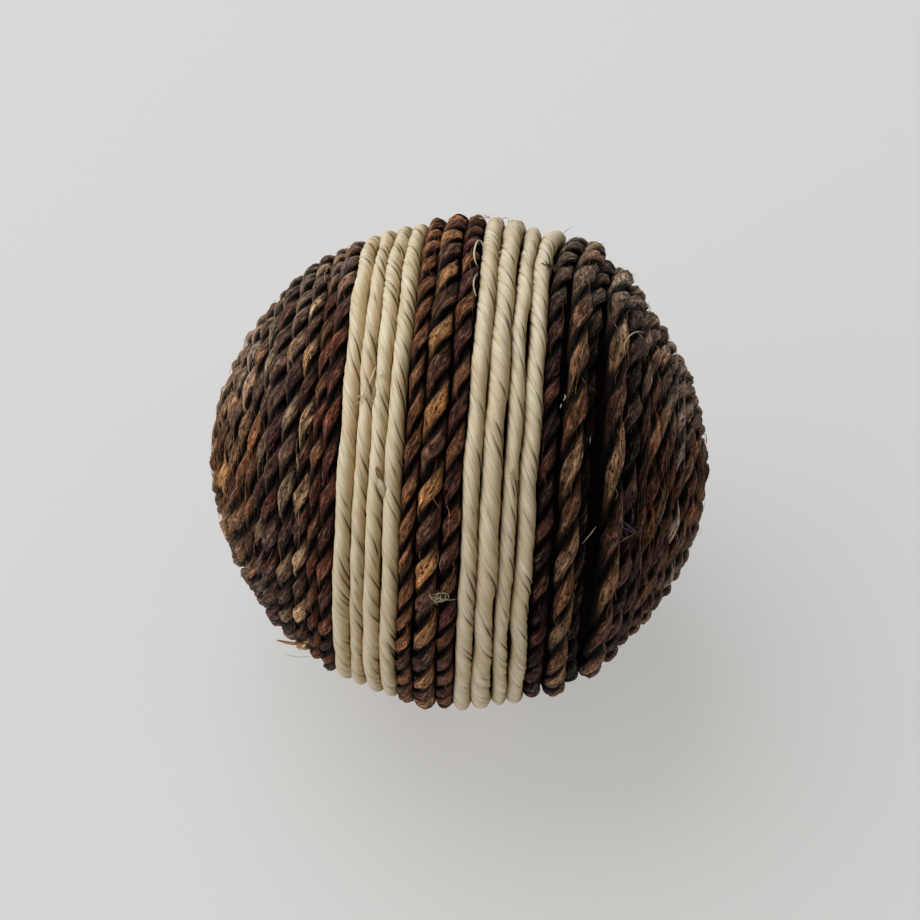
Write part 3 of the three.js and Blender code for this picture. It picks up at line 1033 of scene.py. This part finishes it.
DARK_BITS += spray((19.2, 54.0, 0.0), 24, 2.3, 0.13, 208, tint=(0.17, 0.105, 0.06), spread=0.5)
DARK_BITS += spray((37.4, 25.0, 2.0), 7, 0.8, 0.30, 209, tint=(0.02, 0.012, 0.008), spread=0.3)


# ---------------------------------------------------------------- the ball

dark_fibre = dark_fibre_material()
corn_husk = corn_husk_material()
core_brown = core_material()

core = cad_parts["core_ball"]
core.data.materials.clear()
core.data.materials.append(core_brown)

# Colours of the two plies, and full twists in millimetres, turn by turn from the pale band.
LEFT_COLOURS = [
    ("plum", "rust"), ("rust", "chestnut"), ("straw", "umber"), ("slate", "olive"),
    ("slate", "plum"), ("olive", "slate"), ("sienna", "umber"), ("bark", "chestnut"),
    ("bark", "umber"), ("tan", "bark"), ("tan", "chestnut"), ("bark", "chestnut"),
    ("bark", "chestnut"),
]
RIGHT_COLOURS = [
    ("plum", "pitch"), ("chestnut", "bark"), ("pitch", "pitch"), ("bark", "umber"),
    ("slate", "pitch"), ("umber", "slate"), ("chestnut", "plum"), ("bark", "plum"),
    ("umber", "umber"), ("ash", "plum"), ("bark", "umber"), ("chestnut", "umber"),
    ("bark", "umber"),
]
MIDDLE_COLOURS = [("sienna", "chestnut"), ("honey", "umber"), ("chestnut", "plum")]
LEFT_TWISTS = [14, 13, 15, 14.5, 15, 16, 16, 16, 15, 14]
RIGHT_TWISTS = [14, 19, 15, 25, 16, 16.5, 16, 16, 16, 15, 14]
MIDDLE_TWISTS = [13, 14, 13]
RIGHT_FILLS = [0.96, 0.95, 0.75, 0.70, 0.74, 0.84, 0.84, 0.84, 0.85, 0.86, 0.88]
RIGHT_SINKS = [0, 0, 1.2, 0, 0.8, 0]

left_plies = dark_cord(LEFT_DARK, 0.78, LEFT_TWISTS, LEFT_COLOURS, 11, dark_fibre)
right_plies = dark_cord(
    RIGHT_DARK, 0.88, RIGHT_TWISTS, RIGHT_COLOURS, 31, dark_fibre, RIGHT_FILLS, RIGHT_SINKS)
middle_plies = dark_cord(MIDDLE_DARK, 0.55, MIDDLE_TWISTS, MIDDLE_COLOURS, 51, dark_fibre)
pale_cord(LEFT_PALE, 0.8, [0.99, 0.97, 0.98, 0.98], 71, corn_husk)
pale_cord(RIGHT_PALE, 0.8, [0.90, 1.0, 0.86, 0.93], 91, corn_husk)

loose_fibres("left_loose_fibres", left_plies, 800, 111, dark_fibre)
loose_fibres("right_loose_fibres", right_plies, 800, 131, dark_fibre)
loose_fibres("middle_loose_fibres", middle_plies, 150, 151, dark_fibre)
bridging_fibres("left_bridging_fibres", LEFT_DARK, 260, LEFT_COLOURS, 171, dark_fibre, (-90, -60))
bridging_fibres("right_bridging_fibres", RIGHT_DARK, 420, RIGHT_COLOURS, 172, dark_fibre, (38, 64))
bridging_fibres("middle_bridging_fibres", MIDDLE_DARK, 40, MIDDLE_COLOURS, 173, dark_fibre)
piece_from_tubes("husk_frays", PALE_BITS, corn_husk)
piece_from_tubes("fibre_frays", DARK_BITS, dark_fibre)

# ---------------------------------------------------------------- floor, light and camera

CAMERA_DISTANCE = 0.543
CAMERA_TOWARDS_RIGHT = 1.61  # degrees
CAMERA_ROLL = 0.9
CAMERA_SHIFT = 0.0022
SENSOR_WIDTH = 36.0
BALL_SPAN = 0.5385  # of the picture's width
FLOOR_HALF = 3.0
FLOOR_COLOUR = (0.280, 0.283, 0.290, 1.0)
FLOOR_GLOW = (1.0, 0.985, 0.96, 1.0)
FLOOR_GLOW_STRENGTH = 0.40
ROOM_COLOUR = (1, 0.97, 0.90, 1)
ROOM_STRENGTH = 0.32

centre = Vector((0, 0, CENTRE_HEIGHT * MILLIMETRE))


def make_camera():
    data = bpy.data.cameras.new("camera")
    camera = bpy.data.objects.new("camera", data)
    bpy.context.scene.collection.objects.link(camera)
    e = math.radians(CAMERA_ELEVATION)
    right = math.radians(CAMERA_TOWARDS_RIGHT)
    back = Vector((math.sin(right), -math.cos(right) * math.cos(e), math.cos(right) * math.sin(e)))
    camera.location = centre + back * CAMERA_DISTANCE
    turn = back.to_track_quat("Z", "Y").to_matrix()
    roll = Matrix.Rotation(math.radians(CAMERA_ROLL), 3, "Z")
    camera.rotation_euler = (turn @ roll).to_euler()
    half = math.asin(BALL_RADIUS * MILLIMETRE / CAMERA_DISTANCE)
    data.sensor_width = SENSOR_WIDTH
    data.lens = SENSOR_WIDTH / 2 / (math.tan(half) / BALL_SPAN)
    data.shift_y = CAMERA_SHIFT
    data.clip_start = 0.01
    bpy.context.scene.camera = camera


def make_floor():
    """Pale floor, with some light of its own so that its shadows stay soft."""
    corners = [(-1, -1), (1, -1), (1, 1), (-1, 1)]
    mesh = bpy.data.meshes.new("floor")
    mesh.from_pydata([(FLOOR_HALF * x, FLOOR_HALF * y, 0) for x, y in corners], [], [(0, 1, 2, 3)])
    floor = bpy.data.objects.new("floor", mesh)
    bpy.context.scene.collection.objects.link(floor)
    n = Nodes("pale_floor")
    n.join(FLOOR_COLOUR, n.shader.inputs["Base Color"])
    n.join(0.9, n.shader.inputs["Roughness"])
    n.join(FLOOR_GLOW, n.shader.inputs["Emission Color"])
    n.join(FLOOR_GLOW_STRENGTH, n.shader.inputs["Emission Strength"])
    mesh.materials.append(n.material)


def area_light(name, direction, distance, size, power, colour=(1, 1, 1)):
    data = bpy.data.lights.new(name, "AREA")
    data.shape = "DISK"
    data.size = size
    data.energy = power
    data.color = colour
    light = bpy.data.objects.new(name, data)
    bpy.context.scene.collection.objects.link(light)
    towards = Vector(direction).normalized()
    light.location = centre + towards * distance
    light.rotation_euler = towards.to_track_quat("Z", "Y").to_euler()


def make_lights():
    area_light("key", (-0.42, 0.42, 0.80), 1.5, 1.7, 18.5, (0.93, 0.97, 1.0))
    area_light("side_fill", (-0.85, -0.35, 0.40), 1.4, 1.8, 8.5, (1.0, 0.95, 0.86))
    world = bpy.data.worlds.new("studio")
    world.use_nodes = True
    background = world.node_tree.nodes["Background"]
    background.inputs["Color"].default_value = ROOM_COLOUR
    background.inputs["Strength"].default_value = ROOM_STRENGTH
    bpy.context.scene.world = world
    bpy.context.scene.view_settings.view_transform = "Standard"


make_camera()
make_floor()
make_lights()
